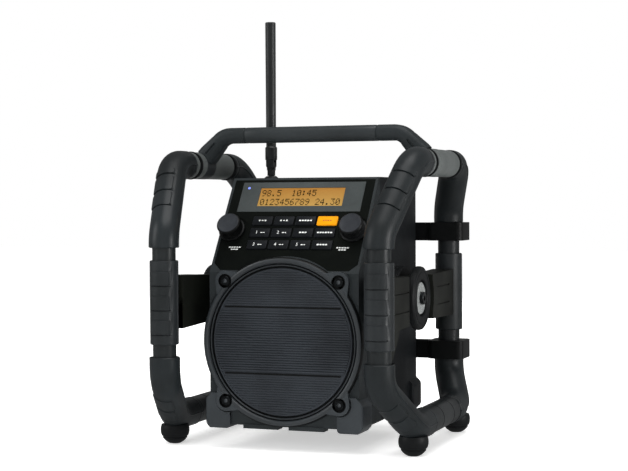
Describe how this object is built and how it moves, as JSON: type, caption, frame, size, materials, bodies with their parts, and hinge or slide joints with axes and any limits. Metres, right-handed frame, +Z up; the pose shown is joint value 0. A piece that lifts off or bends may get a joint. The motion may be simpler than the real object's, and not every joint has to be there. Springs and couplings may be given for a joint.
{
  "type": "jobsite radio",
  "caption": "Jobsite radio in a tube roll cage, with a tilted control panel, a round speaker, a carrying handle and a folding antenna.",
  "frame": {"origin": "on the ground, under the middle of the cage's box, straight below the hub axis", "axes": "+Z up, +X to the radio's right seen from the front, +Y to its back; the speaker faces -Y"},
  "size_m": [0.3084, 0.3075, 0.4725],
  "materials": {
    "charcoal_plastic": "satin",
    "case_plastic": "satin",
    "fascia_gloss": "gloss",
    "window_grey": "satin",
    "lcd_amber": "gloss",
    "key_charcoal": "satin",
    "key_amber": "satin",
    "silicone_grey": "matte",
    "board_green": "satin",
    "shaft_steel": "satin",
    "black_screws": "satin",
    "grille_paint": "satin",
    "basket_steel": "satin",
    "magnet_ferrite": "matte",
    "cone_paper": "matte",
    "jack_black": "satin",
    "cell_wrap": "gloss",
    "antenna_rubber": "satin",
    "tube_grey": "satin",
    "sleeve_rubber": "satin",
    "bush_rubber": "matte",
    "washer_zinc": "satin",
    "arm_olive": "satin"
  },
  "bodies": {
    "root": {"front_shell": "case_plastic", "rear_shell": "case_plastic", "control_fascia": "fascia_gloss", "display_window": "window_grey", "lcd_module": "lcd_amber", "control_board": "board_green", "keypad_mat": "silicone_grey", "speaker_ring": "charcoal_plastic", "speaker_grille": "grille_paint", "ring_screws": "black_screws", "speaker_basket": "basket_steel", "speaker_magnet": "magnet_ferrite", "main_board": "board_green", "aux_jack": "jack_black", "dc_inlet": "jack_black", "battery_cells": "cell_wrap", "antenna_socket": "jack_black", "case_bolts": "black_screws", "frame_tube_right": "tube_grey", "frame_tube_left": "tube_grey", "top_front_elbows": "sleeve_rubber", "bottom_front_elbows": "sleeve_rubber", "top_rear_elbows": "sleeve_rubber", "bottom_rear_elbows": "sleeve_rubber", "front_grips": "sleeve_rubber", "rear_grips": "sleeve_rubber", "feet": "bush_rubber", "handle_bar": "charcoal_plastic", "handle_grip": "sleeve_rubber", "side_arm_right": "arm_olive", "side_arm_left": "arm_olive", "inner_bushes": "bush_rubber", "outer_bushes": "bush_rubber", "hub_washers": "washer_zinc", "hub_screws": "black_screws", "upper_brackets": "charcoal_plastic", "lower_brackets": "charcoal_plastic", "bracket_screws": "black_screws"},
    "key_tune_down_body": {"key_tune_down": "key_charcoal"},
    "key_tune_up_body": {"key_tune_up": "key_charcoal"},
    "key_source_body": {"key_source": "key_charcoal"},
    "key_power_body": {"key_power": "key_amber"},
    "key_preset_1_body": {"key_preset_1": "key_charcoal"},
    "key_preset_2_body": {"key_preset_2": "key_charcoal"},
    "key_info_body": {"key_info": "key_charcoal"},
    "key_display_body": {"key_display": "key_charcoal"},
    "key_preset_3_body": {"key_preset_3": "key_charcoal"},
    "key_preset_4_body": {"key_preset_4": "key_charcoal"},
    "key_preset_5_body": {"key_preset_5": "key_charcoal"},
    "key_menu_body": {"key_menu": "key_charcoal"},
    "volume_push_body": {"volume_shaft": "shaft_steel"},
    "volume_knob_body": {"volume_knob": "charcoal_plastic"},
    "tuning_push_body": {"tuning_shaft": "shaft_steel"},
    "tuning_knob_body": {"tuning_knob": "charcoal_plastic"},
    "cone_body": {"speaker_cone": "cone_paper"},
    "battery_door_body": {"battery_door": "charcoal_plastic"},
    "door_screw_body": {"door_screw": "black_screws"},
    "jack_cover_body": {"jack_cover": "sleeve_rubber"},
    "antenna_swivel_body": {"antenna_swivel": "jack_black"},
    "antenna_rod_body": {"antenna_rod": "antenna_rubber"}
  },
  "joints": [
    {"name": "key_tune_down_press", "type": "slide", "parent": "root", "child": "key_tune_down_body", "axis": [0, 0.8211, -0.5707], "range_m": [0, 0.001], "stiffness_N_per_m": 300, "springref_m": -0.0005},
    {"name": "key_tune_up_press", "type": "slide", "parent": "root", "child": "key_tune_up_body", "axis": [0, 0.8211, -0.5707], "range_m": [0, 0.001], "stiffness_N_per_m": 300, "springref_m": -0.0005},
    {"name": "key_source_press", "type": "slide", "parent": "root", "child": "key_source_body", "axis": [0, 0.8211, -0.5707], "range_m": [0, 0.001], "stiffness_N_per_m": 300, "springref_m": -0.0005},
    {"name": "key_power_press", "type": "slide", "parent": "root", "child": "key_power_body", "axis": [0, 0.8211, -0.5707], "range_m": [0, 0.001], "stiffness_N_per_m": 300, "springref_m": -0.0005},
    {"name": "key_preset_1_press", "type": "slide", "parent": "root", "child": "key_preset_1_body", "axis": [0, 0.8211, -0.5707], "range_m": [0, 0.001], "stiffness_N_per_m": 300, "springref_m": -0.0005},
    {"name": "key_preset_2_press", "type": "slide", "parent": "root", "child": "key_preset_2_body", "axis": [0, 0.8211, -0.5707], "range_m": [0, 0.001], "stiffness_N_per_m": 300, "springref_m": -0.0005},
    {"name": "key_info_press", "type": "slide", "parent": "root", "child": "key_info_body", "axis": [0, 0.8211, -0.5707], "range_m": [0, 0.001], "stiffness_N_per_m": 300, "springref_m": -0.0005},
    {"name": "key_display_press", "type": "slide", "parent": "root", "child": "key_display_body", "axis": [0, 0.8211, -0.5707], "range_m": [0, 0.001], "stiffness_N_per_m": 300, "springref_m": -0.0005},
    {"name": "key_preset_3_press", "type": "slide", "parent": "root", "child": "key_preset_3_body", "axis": [0, 0.8211, -0.5707], "range_m": [0, 0.001], "stiffness_N_per_m": 300, "springref_m": -0.0005},
    {"name": "key_preset_4_press", "type": "slide", "parent": "root", "child": "key_preset_4_body", "axis": [0, 0.8211, -0.5707], "range_m": [0, 0.001], "stiffness_N_per_m": 300, "springref_m": -0.0005},
    {"name": "key_preset_5_press", "type": "slide", "parent": "root", "child": "key_preset_5_body", "axis": [0, 0.8211, -0.5707], "range_m": [0, 0.001], "stiffness_N_per_m": 300, "springref_m": -0.0005},
    {"name": "key_menu_press", "type": "slide", "parent": "root", "child": "key_menu_body", "axis": [0, 0.8211, -0.5707], "range_m": [0, 0.001], "stiffness_N_per_m": 300, "springref_m": -0.0005},
    {"name": "volume_push", "type": "slide", "parent": "root", "child": "volume_push_body", "axis": [0, 0.8211, -0.5707], "range_m": [0, 0.0008], "stiffness_N_per_m": 600, "springref_m": -0.0005},
    {"name": "volume_turn", "type": "hinge", "parent": "volume_push_body", "child": "volume_knob_body", "pos_m": [-0.0702, -0.07334, 0.23907], "axis": [0, -0.8211, 0.5707], "continuous": true},
    {"name": "tuning_push", "type": "slide", "parent": "root", "child": "tuning_push_body", "axis": [0, 0.8211, -0.5707], "range_m": [0, 0.0008], "stiffness_N_per_m": 600, "springref_m": -0.0005},
    {"name": "tuning_turn", "type": "hinge", "parent": "tuning_push_body", "child": "tuning_knob_body", "pos_m": [0.0702, -0.07334, 0.23907], "axis": [0, -0.8211, 0.5707], "continuous": true},
    {"name": "cone_travel", "type": "slide", "parent": "root", "child": "cone_body", "axis": [0, -1, 0], "range_m": [-0.002, 0.002], "stiffness_N_per_m": 2000},
    {"name": "battery_door_swing", "type": "hinge", "parent": "root", "child": "battery_door_body", "pos_m": [-0.0598, 0.1217, 0.102], "axis": [0, 0, 1], "range_deg": [0, 110]},
    {"name": "door_screw_turn", "type": "hinge", "parent": "battery_door_body", "child": "door_screw_body", "pos_m": [0.0577, 0.1203, 0.102], "axis": [0, 1, 0], "continuous": true},
    {"name": "jack_cover_swing", "type": "hinge", "parent": "root", "child": "jack_cover_body", "pos_m": [-0.007, 0.1206, 0.23939], "axis": [1, 0, 0], "range_deg": [0, 110]},
    {"name": "antenna_swivel_turn", "type": "hinge", "parent": "root", "child": "antenna_swivel_body", "pos_m": [-0.063, 0.03, 0.29399], "axis": [0, 0, 1], "range_deg": [-90, 90]},
    {"name": "antenna_tilt", "type": "hinge", "parent": "antenna_swivel_body", "child": "antenna_rod_body", "pos_m": [-0.063, 0.03, 0.30849], "axis": [0, 1, 0], "range_deg": [0, 90]}
  ]
}
